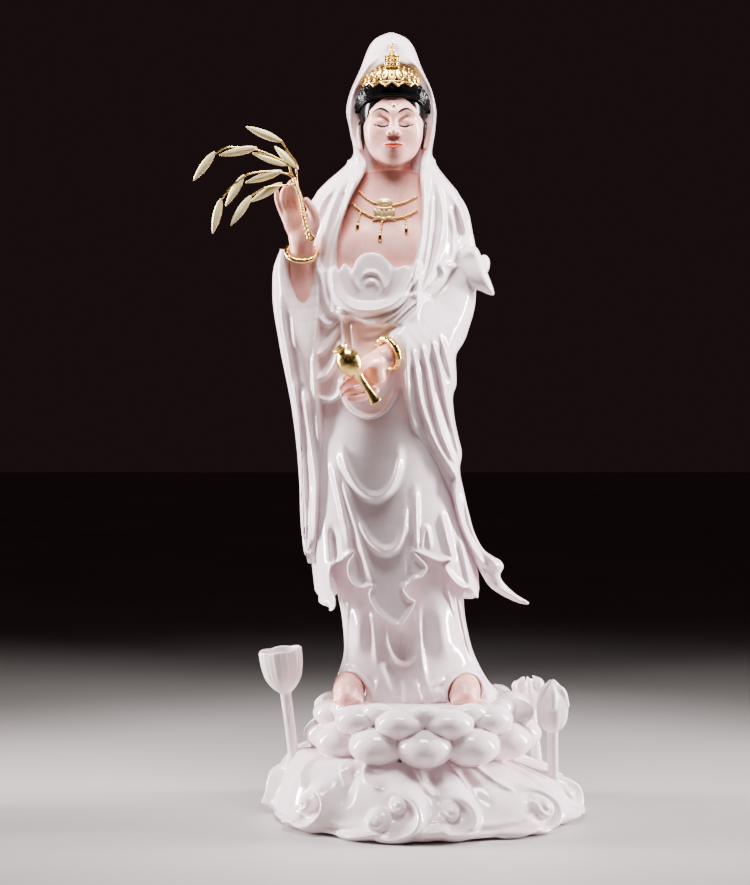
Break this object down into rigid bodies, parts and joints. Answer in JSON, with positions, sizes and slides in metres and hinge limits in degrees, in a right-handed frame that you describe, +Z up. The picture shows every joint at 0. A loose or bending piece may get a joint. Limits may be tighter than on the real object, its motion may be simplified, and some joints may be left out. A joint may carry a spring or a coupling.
{
  "type": "guanyin figure",
  "caption": "Standing veiled Guanyin in polished white marble resin with gilt crown, willow branch and pouring vase, on a lotus and wave plinth with lotus blooms on stems.",
  "frame": {"origin": "middle of the plinth's flat underside", "axes": "+Z up, the figure faces -Y, +X to the right of someone who looks at its face"},
  "size_m": [0.2386, 0.1763, 0.4995],
  "materials": {
    "marble_resin": "polished white marble-filled resin, with painted skin and hair on the figure",
    "gilt": "polished gold plate"
  },
  "bodies": {
    "root": {"figure": "marble_resin", "lotus_and_wave_plinth": "marble_resin", "open_lotus": "marble_resin", "lotus_bud": "marble_resin", "rear_lotus_bud": "marble_resin", "crown": "gilt", "necklace": "gilt", "right_bangle": "gilt", "left_bangle": "gilt", "willow_branch": "gilt", "vase": "gilt"}
  },
  "joints": []
}
